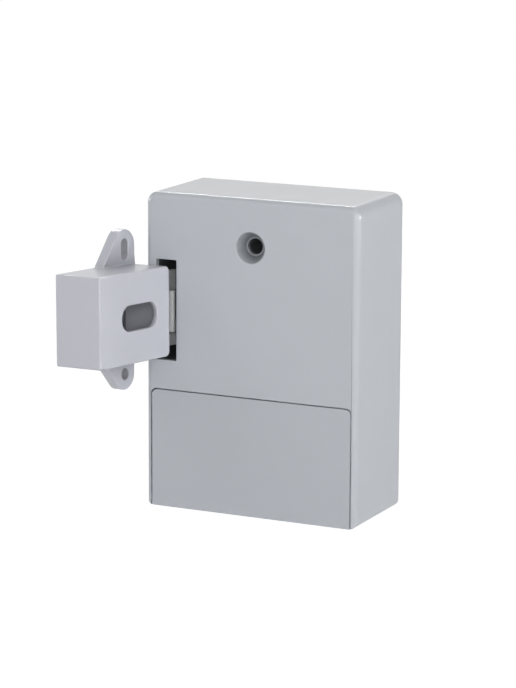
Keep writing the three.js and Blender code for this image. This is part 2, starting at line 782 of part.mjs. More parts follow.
function setSwitch() {
  const side = [-switchSize / 2, switchSize / 2];
  const body = box(side, [boardFront - switchHeight, boardFront], side);
  return body.add(rod('y', plungerDiameter, [switchFront, boardFront - switchHeight + weld], [0, 0]));
}

// The learn button stands through the tray's deck, with its flange behind the deck.
function setButton() {
  const flangeFront = trayRim + trayWall + fitGap;
  const stemEnd = switchFront - buttonTravel - buttonGap;
  return joined([
    rod('y', buttonDiameter, [trayRim - buttonProud, stemEnd], [0, 0]),
    rod('y', buttonFlange, [flangeFront, flangeFront + buttonFlangeThickness], [0, 0]),
  ]);
}

addPiece(electronics, 'set_switch', setSwitch(), blackAbs).position.set(buttonX, 0, buttonZ);
addPiece(electronics, 'set_button', setButton(), buttonRed).position.set(buttonX, 0, buttonZ);

// Battery tray with cells, springs and contacts
const power = new THREE.Group();
lock.add(power);

function batteryTray() {
  const flangeSide = innerSide - fitGap;
  const well = [trayBottom + trayWall, trayTop - trayWall];
  const flange = roundedOutline(
    [-flangeSide, flangeSide], [trayBottom, flangeTop], backCornerRadius);
  const tray = joined([
    box([-traySide, traySide], [trayRim, trayBack], [trayBottom, trayTop]),
    drawnOut('y', flange, [trayFloor, trayBack]),
  ]);
  const cuts = [
    box([wellLeft, wellRight], [trayRim - cut, trayFloor], well),
    box([wellRight + trayWall, traySide - trayWall], [trayRim + trayWall, trayBack + cut], well),
    rod('y', buttonDiameter + 2 * fitGap, [trayRim - cut, trayRim + trayWall + cut], [buttonX, buttonZ]),
  ];
  for (const side of [-1, 1]) {
    const place = [side * bossX, -bossZ];
    cuts.push(rod('y', smallScrewHole, [trayFloor - cut, trayBack + cut], place));
    cuts.push(rod('y', smallScrew.head + 2 * screwFit, [trayRim - cut, trayFloor], place));
  }
  return without(tray, cuts);
}

// A cell with its flat end at the origin, lying along +X.
function cell() {
  const body = cellLength - cellNubLength;
  return joined([
    rod('x', cellDiameter, [0, body], [0, 0], fineSides),
    rod('x', cellNubDiameter, [body - weld, cellLength], [0, 0]),
  ]);
}

class ConeHelix extends THREE.Curve {
  getPoint(t, target = new THREE.Vector3()) {
    const radius = springBaseRadius + (springTipRadius - springBaseRadius) * t;
    const turn = 2 * halfTurn * springCurls * t;
    const room = springLength - springWire - 2 * springGap;
    const along = springGap + springWire / 2 + room * t;
    return target.set(along, radius * Math.cos(turn), radius * Math.sin(turn));
  }
}

function cellSpring() {
  const section = polygon(Array.from({ length: springSides }, (_, i) => {
    const turn = 2 * halfTurn * i / springSides;
    return [springWire / 2 * Math.cos(turn), springWire / 2 * Math.sin(turn)];
  }));
  const steps = springCurls * curlSteps;
  return toSolid(new THREE.ExtrudeGeometry(section, { steps, extrudePath: new ConeHelix() }));
}

// The least gap between a spring's neighbouring curls, from points along its wire.
function springSelfGap() {
  const path = new ConeHelix();
  const count = springCurls * curlSteps * 4;
  const points = Array.from({ length: count + 1 }, (_, i) => path.getPoint(i / count));
  let least = Infinity;
  points.forEach((a, i) => {
    for (let j = i + curlSteps * 2; j <= count; j += 1) least = Math.min(least, a.distanceTo(points[j]));
  });
  return least - springWire;
}

console.log(`least gap between the curls of a cell spring: ${springSelfGap().toFixed(2)} mm`);

addPiece(power, 'battery_tray', batteryTray(), blackAbs);
addScrews(power, 'tray_screw', smallScrew,
  [-1, 1].map((side) => [side * bossX, trayFloor - smallScrew.headHeight, -bossZ, halfTurn]));

// Every other cell lies the other way round, so its spring stands on the right.
const cellRows = Array.from({ length: cellCount }, (_, i) => cellMiddleZ + (1 - i) * cellPitch);
cellRows.forEach((z, i) => {
  const turned = i % 2 === 1;
  const row = new THREE.Group();
  row.position.set(turned ? wellRight : wellLeft, cellY, z);
  row.rotation.z = turned ? halfTurn : 0;
  power.add(row);
  addPiece(row, `cell_${i + 1}`, cell(), cellJacket).position.x = contactThickness + springLength;
  addPiece(row, `cell_spring_${i + 1}`, cellSpring(), steel).position.x = contactThickness;
});

function contactPlate(x, rows) {
  const low = Math.min(...rows) - contactHeight / 2;
  const high = Math.max(...rows) + contactHeight / 2;
  const depth = [cellY - contactHeight / 2, cellY + contactHeight / 2];
  return box([x, x + contactThickness], depth, [low, high]);
}

const rightContactX = wellRight - contactThickness;
addPiece(power, 'contact_terminal_left', contactPlate(wellLeft, [cellRows[0]]), steel);
addPiece(power, 'contact_link_left', contactPlate(wellLeft, [cellRows[1], cellRows[2]]), steel);
addPiece(power, 'contact_link_right', contactPlate(rightContactX, [cellRows[0], cellRows[1]]), steel);
addPiece(power, 'contact_terminal_right', contactPlate(rightContactX, [cellRows[2]]), steel);

// Strike, in its own frame: X from the keeper's middle, Y from the front of the case, Z from its own middle.
// It stands loose in the slot, leaning a little each way.
const strike = new THREE.Group();
strike.position.set(keeperX, front, slotMiddle);
strike.rotation.set(strikeLean.pitch * degree, strikeLean.roll * degree, strikeLean.yaw * degree, 'ZXY');
lock.add(strike);

const strikeRight = keeperThickness / 2 + keeperInset + strikeFaceWall;
const strikeLeft = strikeRight - strikeWidth;
const strikeFar = -strikeGap;
const strikeNear = strikeFar - strikeDepth;
const strikeHalf = strikeHeight / 2;
const strikeInside = strikeRight - strikeFaceWall;
const cavityHalf = strikeHalf - strikeWall;
const cavityY = [strikeNear + strikeWall, strikeFar - strikeWall];
const armHalf = cavityHalf - fitGap;
const windowY = strikeFar - windowSetback;
const bridgeY = [strikeFar - bridgeSetback - bridgeLength, strikeFar - bridgeSetback];
const bridgeMiddle = (bridgeY[0] + bridgeY[1]) / 2;
const clampY = [bridgeMiddle - clampLength / 2, bridgeMiddle + clampLength / 2];
const clampZ = [-clampHeight / 2, clampHeight / 2];
const baseInner = strikeLeft + basePlateThickness;
const strikeBossY = cavityY[0] + strikeBossDiameter / 2 - weld;
const strikeBossZ = cavityHalf - strikeBossDiameter / 2 + weld;
const rollerY = caseWall + boltFrontGap + boltThickness + rollerGap + rollerDiameter / 2;
const armEnd = rollerY + pinDiameter / 2 + armLip;

// The angle, seen from a circle's centre, at which a line from an outside point touches the circle.
function tangentAngle([x, y], [cx, cy], radius, side) {
  const distance = Math.hypot(x - cx, y - cy);
  return Math.atan2(y - cy, x - cx) + side * Math.acos(Math.min(1, radius / distance));
}

// A screw ear above (side 1) or below (side -1): straight sides from its base, drawn out to a round end.
function earOutline({ base, reach, setback, radius }, side) {
  const centre = [strikeFar - setback, side * (strikeHalf + reach)];
  const near = [strikeFar - base, side * (strikeHalf - strikeCornerRadius)];
  const far = [strikeFar, side * (strikeHalf - strikeCornerRadius)];
  const from = tangentAngle(far, centre, radius, side);
  const to = tangentAngle(near, centre, radius, -side);
  const shape = new THREE.Shape();
  shape.moveTo(...near);
  shape.lineTo(...far);
  shape.absarc(centre[0], centre[1], radius, from, to, side < 0);
  return shape;
}

function stadium([cx, cy], width, height) {
  const radius = Math.min(width, height) / 2 - mergeTolerance;
  return roundedOutline([cx - width / 2, cx + width / 2], [cy - height / 2, cy + height / 2], radius);
}

function armSlots(gap) {
  const high = [armHalf - upperArm - gap, armHalf + gap];
  const low = [-armHalf - gap, lowerArm - armHalf + gap];
  return [high, low];
}

function strikeHousing() {
  const outline = roundedOutline([strikeNear, strikeFar], [-strikeHalf, strikeHalf], strikeCornerRadius);
  const ear = [strikeLeft, strikeLeft + earThickness];
  const skirt = strikeEdgeRadius + cut;
  const block = drawnOut('x', outline, [strikeLeft - skirt, strikeRight], strikeEdgeRadius)
    .subtract(box([strikeLeft - 2 * skirt, strikeLeft], [strikeNear - cut, strikeFar + cut],
      [-strikeHeight, strikeHeight]));
  const body = joined([
    block,
    drawnOut('x', earOutline(upperEar, 1), ear),
    drawnOut('x', earOutline(lowerEar, -1), ear),
  ]);
  const parts = [body.subtract(box([strikeLeft - cut, strikeInside], cavityY, [-cavityHalf, cavityHalf]))];
  for (const side of [-1, 1]) {
    const place = [strikeBossY, side * strikeBossZ];
    parts.push(rod('x', strikeBossDiameter, [baseInner, strikeInside + weld], place));
  }
  parts.push(box([keeperThickness / 2 + fitGap, strikeInside + weld], clampY, clampZ));
  const slotAt = [strikeFar - upperEar.setback, strikeHalf + earSlotReach];
  const holeAt = [strikeFar - lowerEar.setback, -strikeHalf - lowerEar.reach];
  const cuts = [
    drawnOut('x', stadium([windowY, 0], windowLength, windowHeight),
      [strikeInside - cut, strikeRight + cut]),
    drawnOut('x', stadium([windowY, 0], windowLength + 2 * windowChamfer, windowHeight + 2 * windowChamfer),
      [strikeRight - windowChamfer, strikeRight + cut]),
    drawnOut('x', stadium(slotAt, earSlotWidth, earSlotLength), [ear[0] - cut, ear[1] + cut]),
    rod('x', earHoleDiameter, [ear[0] - cut, ear[1] + cut], holeAt, fineSides),
  ];
  const across = [-keeperThickness / 2 - fitGap, keeperThickness / 2 + fitGap];
  for (const high of armSlots(fitGap)) {
    cuts.push(box(across, [cavityY[1] - cut, strikeFar + cut], high));
  }
  for (const side of [-1, 1]) {
    const span = [baseInner - cut, baseInner + strikeScrew.length];
    cuts.push(rod('x', strikeScrewHole, span, [strikeBossY, side * strikeBossZ]));
  }
  return without(joined(parts), cuts);
}

function strikeBasePlate() {
  const clampFront = -keeperThickness / 2 - fitGap;
  const sink = strikeScrew.headHeight + sinkDepth;
  const plate = joined([
    box([strikeLeft, baseInner], [cavityY[0] + fitGap, cavityY[1] - fitGap],
      [fitGap - cavityHalf, cavityHalf - fitGap]),
    box([baseInner - weld, clampFront], clampY, clampZ),
  ]);
  const cuts = [];
  for (const side of [-1, 1]) {
    const place = [strikeBossY, side * strikeBossZ];
    cuts.push(rod('x', strikeScrewHole, [strikeLeft - cut, baseInner + cut], place));
    cuts.push(rod('x', strikeScrew.head + 2 * screwFit, [strikeLeft - cut, strikeLeft + sink], place));
  }
  return without(plate, cuts);
}

function keeperFork() {
  const thick = [-keeperThickness / 2, keeperThickness / 2];
  const parts = [box(thick, bridgeY, [-armHalf, armHalf])];
  for (const high of armSlots(0)) parts.push(box(thick, [bridgeY[0], armEnd], high));
  const bore = rod('z', pinDiameter + 2 * pinFit, [-strikeHeight, strikeHeight], [0, rollerY], smallSides);
  return joined(parts).subtract(bore);
}

function keeperRoller() {
  const span = [lowerArm - armHalf + fitGap, armHalf - upperArm - fitGap];
  return rod('z', rollerDiameter, span, [0, rollerY], fineSides)
    .subtract(rod('z', pinDiameter + 2 * pinFit, [span[0] - cut, span[1] + cut], [0, rollerY]));
}

addPiece(strike, 'strike_housing', strikeHousing(), greyAbs);
addPiece(strike, 'strike_base_plate', strikeBasePlate(), greyAbs);
for (const [i, side] of [-1, 1].entries()) {
  const mesh = addPiece(strike, `strike_screw_${i + 1}`, screw(strikeScrew), zincSteel);
  mesh.position.set(strikeLeft + sinkDepth, strikeBossY, side * strikeBossZ);
  mesh.rotation.z = quarterTurn;
}
addPiece(strike, 'keeper_fork', keeperFork(), steel);
addPiece(strike, 'keeper_pin', rod('z', pinDiameter, [-armHalf, armHalf], [0, rollerY]), steel);
addPiece(strike, 'keeper_roller', keeperRoller(), whiteNylon);

export default lock;
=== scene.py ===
import json
import math

import bpy
from mathutils import Matrix, Vector


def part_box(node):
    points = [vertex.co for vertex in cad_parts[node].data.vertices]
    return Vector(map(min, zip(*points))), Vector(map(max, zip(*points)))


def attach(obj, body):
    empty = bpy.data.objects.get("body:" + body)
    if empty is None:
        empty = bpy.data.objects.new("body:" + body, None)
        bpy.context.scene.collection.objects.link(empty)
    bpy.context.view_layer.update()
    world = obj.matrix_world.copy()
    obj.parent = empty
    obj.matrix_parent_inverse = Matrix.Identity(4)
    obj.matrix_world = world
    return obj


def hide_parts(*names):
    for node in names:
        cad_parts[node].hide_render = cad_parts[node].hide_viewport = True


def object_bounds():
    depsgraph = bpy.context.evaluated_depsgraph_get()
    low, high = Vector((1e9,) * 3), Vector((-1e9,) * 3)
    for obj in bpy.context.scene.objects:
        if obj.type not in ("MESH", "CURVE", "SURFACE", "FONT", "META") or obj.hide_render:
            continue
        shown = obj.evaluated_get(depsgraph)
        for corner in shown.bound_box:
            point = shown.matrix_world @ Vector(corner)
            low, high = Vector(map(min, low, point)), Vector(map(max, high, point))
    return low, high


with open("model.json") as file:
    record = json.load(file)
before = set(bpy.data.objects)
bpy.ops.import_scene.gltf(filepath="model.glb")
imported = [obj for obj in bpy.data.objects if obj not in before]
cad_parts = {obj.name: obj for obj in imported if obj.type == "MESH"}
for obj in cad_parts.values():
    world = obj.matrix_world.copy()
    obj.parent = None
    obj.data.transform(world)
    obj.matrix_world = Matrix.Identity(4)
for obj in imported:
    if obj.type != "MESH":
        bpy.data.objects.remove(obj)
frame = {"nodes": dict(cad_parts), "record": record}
cadLow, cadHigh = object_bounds()
mm = 0.001
weld = 0.1  # millimetres that joined pieces run into each other
touch = 0.01  # millimetres within which an edge lies on a face
hair = 0.001  # millimetres, keeps two round ends from meeting and merges loose corners
sliver = 0.002  # millimetres, smaller faces are cleared away
aligned = 0.99  # least share of a direction that counts as along an axis
holeSides, bossSides = 32, 48  # sides of small round holes and of thin round pieces


# Picking and shaping

def clearPick():
    if bpy.context.mode != "OBJECT":
        bpy.ops.object.mode_set(mode="OBJECT")
    bpy.ops.object.select_all(action="DESELECT")


def takeUp(piece):
    clearPick()
    piece.select_set(True)
    bpy.context.view_layer.objects.active = piece


def setDown(name):  # the new primitive's place and size go into its mesh
    piece = bpy.context.object
    bpy.ops.object.transform_apply(location=True, rotation=True, scale=True)
    piece.name = name
    piece.data.name = name
    return piece


def block(name, low, high):
    clearPick()
    low, high = Vector(low) * mm, Vector(high) * mm
    bpy.ops.mesh.primitive_cube_add(size=1, location=(low + high) / 2, scale=high - low)
    return setDown(name)


def rod(name, axis, span, centre, radius, endRadius=None, sides=64):
    clearPick()
    turn = {"x": (0, math.pi / 2, 0), "y": (-math.pi / 2, 0, 0), "z": (0, 0, 0)}[axis]
    place = list(centre)
    place.insert("xyz".index(axis), (span[0] + span[1]) / 2)
    bpy.ops.mesh.primitive_cone_add(
        vertices=sides, radius1=radius * mm, radius2=(endRadius or radius) * mm,
        depth=(span[1] - span[0]) * mm, location=Vector(place) * mm, rotation=turn)
    return setDown(name)


def pickEdges(piece, test):  # test gets an edge's middle and direction in millimetres
    takeUp(piece)
    bpy.ops.object.mode_set(mode="EDIT")
    bpy.ops.mesh.select_mode(type="EDGE")
    bpy.ops.mesh.select_all(action="DESELECT")
    bpy.ops.object.mode_set(mode="OBJECT")
    points = piece.data.vertices
    for edge in piece.data.edges:
        a, b = (points[i].co / mm for i in edge.vertices)
        edge.select = test((a + b) / 2, (b - a).normalized())
    bpy.ops.object.mode_set(mode="EDIT")


def roundPicked(radius, segments):
    bpy.ops.mesh.bevel(
        offset=radius * mm, segments=segments, profile=0.5, affect="EDGES", clamp_overlap=False)
    bpy.ops.object.mode_set(mode="OBJECT")


def roundedBlock(name, low, high, axis, upper, lower, segments=10):
    piece = block(name, low, high)
    middle = (low[2] + high[2]) / 2
    along = "xyz".index(axis)
    for radius, above in ((upper, True), (lower, False)):
        if radius:
            pickEdges(piece, lambda at, way: abs(way[along]) > aligned and (at.z > middle) == above)
            roundPicked(radius, segments)
    return piece


def combine(piece, other, operation):
    change = piece.modifiers.new(operation.lower(), "BOOLEAN")
    change.operation = operation
    change.solver = "EXACT"
    change.object = other
    takeUp(piece)
    bpy.ops.object.modifier_apply(modifier=change.name)
    bpy.data.objects.remove(other)


def cutAway(piece, *cutters):
    for cutter in cutters:
        combine(piece, cutter, "DIFFERENCE")


def joinOn(piece, *others):
    for other in others:
        combine(piece, other, "UNION")


def easeEdges(piece, width, angle=35, segments=3):  # small mould radius on every sharp edge
    ease = piece.modifiers.new("ease", "BEVEL")
    ease.width = width * mm
    ease.segments = segments
    ease.limit_method = "ANGLE"
    ease.angle_limit = math.radians(angle)
    ease.use_clamp_overlap = False
    ease.miter_outer = "MITER_ARC"
    takeUp(piece)
    bpy.ops.object.modifier_apply(modifier=ease.name)


def smooth(piece, angle=40):  # slivers go first, so that no face shades wrong
    takeUp(piece)
    bpy.ops.object.mode_set(mode="EDIT")
    bpy.ops.mesh.select_all(action="SELECT")
    bpy.ops.mesh.remove_doubles(threshold=sliver * mm)
    bpy.ops.mesh.dissolve_degenerate(threshold=sliver * mm)
    bpy.ops.object.mode_set(mode="OBJECT")
    bpy.ops.object.shade_smooth_by_angle(angle=math.radians(angle))
    flat = piece.modifiers.new("flat", "WEIGHTED_NORMAL")
    flat.keep_sharp = True
    flat.weight = 60  # large faces decide the shading
    bpy.ops.object.modifier_apply(modifier=flat.name)


def settle(piece, body, slotName, *nodes, finish=None):
    piece.data.materials.clear()
    piece.data.materials.append(finishes[finish or slotName])
    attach(piece, body)
    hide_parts(*nodes)
    print("piece", piece.name, len(piece.data.polygons), "faces")
    return piece


# Finishes

def toLinear(text):
    parts = [int(text[i:i + 2], 16) / 255 for i in (1, 3, 5)]
    return [c / 12.92 if c <= 0.04045 else ((c + 0.055) / 1.055) ** 2.4 for c in parts] + [1]


def addNode(tree, kind, settings=None, links=None):
    node = tree.nodes.new(kind)
    for key, value in (settings or {}).items():
        if key in node.inputs:
            node.inputs[key].default_value = value
        else:
            setattr(node, key, value)
    for key, source in (links or {}).items():
        tree.links.new(source, node.inputs[key])
    return node


def freshMaterial(name):
    material = bpy.data.materials.new(name)
    material.use_nodes = True
    tree = material.node_tree
    shader = tree.nodes["Principled BSDF"]
    place = addNode(tree, "ShaderNodeTexCoord").outputs["Object"]
    return material, tree, shader, place


plasticSizes = {  # millimetres, then plain levels
    # besides clouds and relief: the reach, occlusion range and samples of the painted shade in holes and
    # corners
    "cloud": 18, "relief": 0.02, "paintedShadeReach": 12, "paintedShadeFrom": 0.3, "paintedShadeTo": 0.97, "paintedShadeSamples": 8,
    "glossSpread": 0.05, "shine": 0.1, "coatRoughness": 0.06,
}
metalSizes = {"stretch": 0.05, "glossSpread": 0.08}


def mouldedPlastic(name, tone, shade, roughness, grain, bump, paintedShadeLevel=0.8, polish=0.0):
    # moulded ABS: an even colour with faint flow clouds, a fine eroded grain, a soft satin gloss and
    # painted shade that darkens holes and corners
    size, spread = plasticSizes, plasticSizes["glossSpread"]
    material, tree, shader, place = freshMaterial(name)
    clouds = addNode(
        tree, "ShaderNodeTexNoise", {"Scale": 1 / (size["cloud"] * mm), "Detail": 3, "Roughness": 0.55},
        {"Vector": place})
    colour = addNode(tree, "ShaderNodeMix", {"data_type": "RGBA"}, {"Factor": clouds.outputs["Fac"]})
    colour.inputs[6].default_value = toLinear(shade)
    colour.inputs[7].default_value = toLinear(tone)
    # painted shade: an ambient occlusion test darkens the colour in holes, corners and seams, down to the
    # given level
    occlusion = addNode(
        tree, "ShaderNodeAmbientOcclusion",
        {"Distance": size["paintedShadeReach"] * mm, "only_local": True, "samples": size["paintedShadeSamples"]})
    paintedShade = addNode(
        tree, "ShaderNodeMapRange",
        {"From Min": size["paintedShadeFrom"], "From Max": size["paintedShadeTo"], "To Min": paintedShadeLevel},
        {"Value": occlusion.outputs["AO"]})
    shadedColour = addNode(tree, "ShaderNodeMix", {"data_type": "RGBA", "blend_type": "MULTIPLY", "Factor": 1.0})
    tree.links.new(colour.outputs[2], shadedColour.inputs[6])
    tree.links.new(paintedShade.outputs["Result"], shadedColour.inputs[7])
    speck = addNode(tree, "ShaderNodeTexNoise", {"Scale": 1 / (grain * mm), "Detail": 2}, {"Vector": place})
    gloss = addNode(
        tree, "ShaderNodeMapRange", {"To Min": roughness - spread, "To Max": roughness + spread},
        {"Value": speck.outputs["Fac"]})
    relief = addNode(
        tree, "ShaderNodeBump", {"Strength": bump, "Distance": size["relief"] * mm},
        {"Height": speck.outputs["Fac"]})
    tree.links.new(shadedColour.outputs[2], shader.inputs["Base Color"])
    tree.links.new(gloss.outputs["Result"], shader.inputs["Roughness"])
    tree.links.new(relief.outputs["Normal"], shader.inputs["Normal"])
    shader.inputs["Specular IOR Level"].default_value = size["shine"]
    shader.inputs["Coat Weight"].default_value = polish
    shader.inputs["Coat Roughness"].default_value = size["coatRoughness"]
    return material


def brushedMetal(name, tone, shade, roughness, line, metallic=1.0):
    # rolled and plated metal: fine drawn lines along the sheet that stretch its reflections
    stretch, spread = metalSizes["stretch"], metalSizes["glossSpread"]
    material, tree, shader, place = freshMaterial(name)
    drawn = addNode(
        tree, "ShaderNodeMapping",
        {"Scale": (1 / (line * mm), stretch / (line * mm), 1 / (line * mm))}, {"Vector": place})
    lines = addNode(
        tree, "ShaderNodeTexNoise", {"Scale": 1, "Detail": 4}, {"Vector": drawn.outputs["Vector"]})
    colour = addNode(tree, "ShaderNodeMix", {"data_type": "RGBA"}, {"Factor": lines.outputs["Fac"]})
    colour.inputs[6].default_value = toLinear(shade)
    colour.inputs[7].default_value = toLinear(tone)
    gloss = addNode(
        tree, "ShaderNodeMapRange", {"To Min": roughness - spread, "To Max": roughness + spread},
        {"Value": lines.outputs["Fac"]})
    tree.links.new(colour.outputs[2], shader.inputs["Base Color"])
    tree.links.new(gloss.outputs["Result"], shader.inputs["Roughness"])
    shader.inputs["Metallic"].default_value = metallic
    return material


# after its name, tones, roughness, grain and bump, each plastic gets the darkest level of its painted shade
# in holes, corners and seams, then its coat
finishes = {
    "grey_abs": mouldedPlastic(  # pale grey with fine bright edges; painted shade makes its holes dark
        "satin grey ABS", "#c2c6cc", "#bec2c8", 0.36, 0.35, 0.05, 0.1, 0.36),
    "door_abs": mouldedPlastic(  # the same grey, a shade darker than the case round it
        "satin grey ABS of the cover", "#bec2c8", "#babec4", 0.36, 0.35, 0.05, 0.3, 0.36),
    "strike_abs": mouldedPlastic(  # a slightly lighter and cooler grey than the case
        "satin grey ABS of the strike", "#cdced6", "#c9cad2", 0.34, 0.35, 0.05, 0.45, 0.35),
    "shaded_base_abs": mouldedPlastic(  # grey ABS painted darker, as painted shade on the floor behind the oblong window
        "grey ABS of the base plate", "#7c7c86", "#767680", 0.4, 0.35, 0.05, 0.8),
    "black_abs": mouldedPlastic(  # soft black of the hidden mouldings
        "black ABS", "#34383a", "#2d3133", 0.42, 0.35, 0.15, 1.0),
    "lit_chassis_abs": mouldedPlastic(  # black ABS painted lighter, as painted light deep in the slot, so that the slot is not a hole
        "black ABS of the chassis", "#53585a", "#4c5052", 0.5, 0.35, 0.15, 0.7),
    "white_nylon": mouldedPlastic(  # clean white strip in the slot
        "white nylon", "#fafafa", "#f4f5f5", 0.4, 0.4, 0.08, 1.0),
    "acetal": mouldedPlastic(  # warm milky white of the gears
        "natural acetal", "#dedccf", "#d4d2c4", 0.38, 0.4, 0.08),
    "circuit_board": mouldedPlastic(  # dark glossy green
        "green solder mask", "#1f5f3b", "#1a5232", 0.3, 0.6, 0.1),
    "button_red": mouldedPlastic(  # a small strong red in the battery bay
        "red ABS", "#b0342c", "#a02c26", 0.32, 0.35, 0.1),
    "cell_jacket": mouldedPlastic(  # plain slate foil
        "foil jacket", "#56626c", "#4a555f", 0.3, 0.5, 0.05),
    "steel": brushedMetal(  # grey metal with soft drawn lines
        "rolled steel", "#a6a8aa", "#929497", 0.34, 0.12),
    "zinc_steel": brushedMetal(  # paler and a little warmer than the steel
        "zinc plated steel", "#b4b6b6", "#a2a4a6", 0.36, 0.2),
    "keeper_zinc": brushedMetal(  # dull light grey arms in the slot
        "matt zinc plating", "#d4d6d8", "#c8cacc", 0.5, 0.12, 0.15),
    "brass": brushedMetal(  # yellow metal of the pinion
        "cut brass", "#c2a35c", "#b08f4a", 0.32, 0.15),
    "copper_wire": brushedMetal(  # brown red of the coil
        "enamelled copper", "#b87343", "#a4622f", 0.35, 0.25),
}
print("finishes", len(finishes))


# Case

caseSizes = {  # millimetres
    "wall": 2.2, "topCorner": 4.0, "bottomCorner": 2.5, "frontEdge": 2.3, "innerCorner": 1.6,
    "skirt": 8.0, "ease": 0.22, "past": 1.0, "gap": 0.3, "bottomSetback": 6.4,
    "slotLeft": -35.7, "slotRight": -28.1, "slotLow": -3.05, "slotHigh": 31.95,
    "funnelZ": 38.4, "funnelMouth": 5.4, "funnelSeat": 3.35, "funnelDepth": 4.0,
    "bore": 2.7, "cup": 5.3, "seat": 1.2, "railWidth": 2.6, "railThickness": 1.8,
    "cornerSteps": 12, "edgeSteps": 8, "innerSteps": 5,
}
doorSizes = {
    "top": -13.35, "side": 37.85, "seam": 0.35, "corner": 2.0, "flange": 1.8, "hook": 1.6,
    "hookDrop": 4.0, "tongueWidth": 20.0, "tongueRise": 2.2, "tongueThickness": 1.3, "ease": 0.2,
    "cornerSteps": 8,
}
backSizes = {"corner": 1.5, "cornerSteps": 6, "sink": 1.9, "head": 3.05, "hole": 1.6, "ease": 0.12}
bossSizes = {  # screw bosses inside the case
    "corner": 3.8, "cornerAt": (34.05, 49.3), "cornerHole": 1.6, "cornerDepth": 8.0, "rib": 1.0,
    "small": 3.0, "smallAt": ((-22.0, 46.5), (22.0, 46.5), (22.0, -6.05)), "smallHole": 1.3,
    "smallDepth": 5.0, "trayBack": -18.3, "chassisFront": -20, "plateInner": -3.0,
}
caseLow, caseHigh = (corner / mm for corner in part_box("front_shell"))


def caseForm(name):  # closed outside of the case: rounded round the front, plain at the bottom
    size = caseSizes
    form = roundedBlock(
        name, (caseLow.x, caseLow.y, caseLow.z - size["skirt"]),
        (caseHigh.x, caseHigh.y + size["skirt"], caseHigh.z), "y", size["topCorner"], 0,
        size["cornerSteps"])
    pickEdges(form, lambda at, way: at.y < caseLow.y + touch)
    roundPicked(size["frontEdge"], size["edgeSteps"])
    outline = roundedBlock(
        "outline", (caseLow.x, caseLow.y - size["past"], caseLow.z),
        (caseHigh.x, caseHigh.y, caseHigh.z + size["skirt"]), "y", 0, size["bottomCorner"])
    combine(form, outline, "INTERSECT")
    return form


def doorPrism(name, gap, back):
    side, size = doorSizes["side"] - gap, caseSizes
    return roundedBlock(
        name, (-side, caseLow.y - size["past"], caseLow.z - size["skirt"]),
        (side, back, doorSizes["top"] - gap), "y", doorSizes["corner"], 0,
        doorSizes["cornerSteps"])


def addBosses(shell, inner, side):
    size = bossSizes
    front, back, past = inner - weld, size["plateInner"], caseSizes["past"]
    for x in (-size["cornerAt"][0], size["cornerAt"][0]):
        for z in (-size["cornerAt"][1], size["cornerAt"][1]):
            start = front if z > 0 else size["trayBack"]
            rib = sorted((x, math.copysign(side + weld, x)))
            joinOn(shell, rod("boss", "y", (start, back), (x, z), size["corner"]),
                   block("rib", (rib[0], start, z - size["rib"]), (rib[1], back, z + size["rib"])))
            cutAway(shell, rod("hole", "y", (back - size["cornerDepth"], back + past), (x, z),
                               size["cornerHole"]))
            if z < 0:
                cutAway(shell, rod("hole", "y", (start - past, start + size["smallDepth"]), (x, z),
                                   size["smallHole"], sides=holeSides))
    end = size["chassisFront"]
    for at in size["smallAt"]:
        joinOn(shell, rod("boss", "y", (front, end), at, size["small"], sides=bossSides))
        cutAway(shell, rod("hole", "y", (end - size["smallDepth"], end + past), at, size["smallHole"],
                           sides=holeSides))


def makeCaseShell():
    size = caseSizes
    inner = caseLow.y + size["wall"]
    side, low, high = caseHigh.x - size["wall"], caseLow.z + size["wall"], caseHigh.z - size["wall"]
    shell = caseForm("case_shell")
    cutAway(
        shell,
        roundedBlock("room", (-side, inner, low), (side, caseHigh.y + size["past"], high), "y",
                     size["innerCorner"], size["innerCorner"], size["innerSteps"]),
        doorPrism("opening", 0, inner + weld),
        block("bottomGap", (-side, inner, caseLow.z - size["past"]),
              (side, caseLow.y + size["bottomSetback"], low + size["innerCorner"])))
    at = (0, size["funnelZ"])
    cupBack = caseLow.y + size["funnelDepth"] + size["seat"]
    joinOn(shell, rod("cup", "y", (inner - weld, cupBack), at, size["cup"]))
    flare = (size["funnelMouth"] - size["funnelSeat"]) / size["funnelDepth"]
    cutAway(
        shell,
        block("slot", (size["slotLeft"], caseLow.y - size["past"], size["slotLow"]),
              (size["slotRight"], inner + weld, size["slotHigh"])),
        rod("funnel", "y", (caseLow.y - size["past"], caseLow.y + size["funnelDepth"]), at,
            size["funnelMouth"] + flare * size["past"], size["funnelSeat"]),
        rod("bore", "y", (caseLow.y, 0), at, size["bore"]))
    easeEdges(shell, size["ease"])
    railFront = inner + size["gap"]
    for way in (-1, 1):
        edges = sorted((way * (side + weld), way * (side - size["railWidth"])))
        joinOn(shell, block("rail", (edges[0], railFront, low),
                            (edges[1], railFront + size["railThickness"], doorSizes["top"])))
    addBosses(shell, inner, side)
    smooth(shell)
    return settle(shell, "case", "grey_abs", "front_shell")


